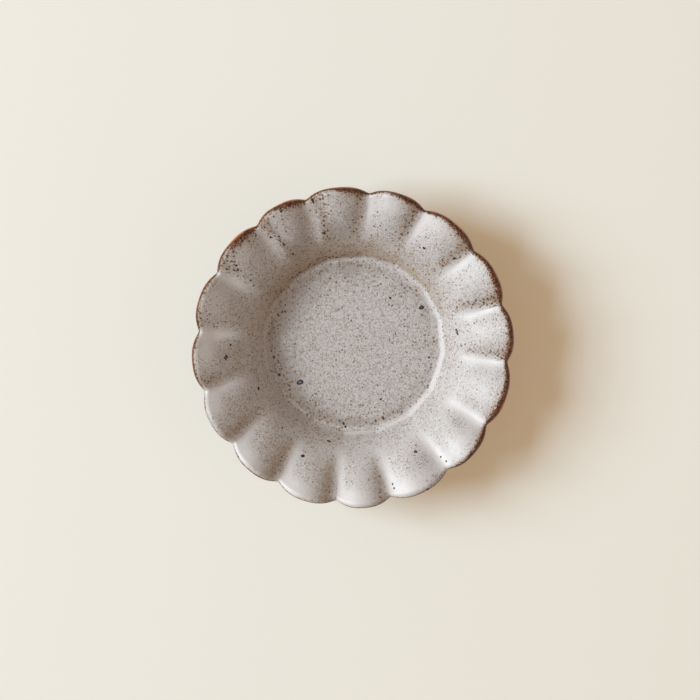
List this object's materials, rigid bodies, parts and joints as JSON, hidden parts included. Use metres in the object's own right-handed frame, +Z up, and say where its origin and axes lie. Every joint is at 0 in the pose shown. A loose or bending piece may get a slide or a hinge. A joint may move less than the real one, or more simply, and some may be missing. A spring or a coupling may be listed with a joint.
{
  "type": "soy sauce dish",
  "caption": "Small footed stoneware dish with a petalled wall, a sunk round floor and an iron-brown lip, for dipping sauce.",
  "frame": {"origin": "on the table under the middle of the foot ring", "axes": "+Z up out of the dish; the picture looks down -Z with +Y to its top and +X to its right"},
  "size_m": [0.0956, 0.0957, 0.0208],
  "materials": {
    "clay": "bare fired brown stoneware, matte",
    "glaze": "satin warm grey-white glaze with brown iron specks",
    "iron_glaze": "thin rust-brown glaze where it breaks over the lip"
  },
  "bodies": {
    "root": {"petal_body": "clay", "foot_ring": "clay", "inner_glaze": "glaze", "outer_glaze": "glaze", "base_glaze": "glaze", "rim_band": "iron_glaze"}
  },
  "joints": []
}
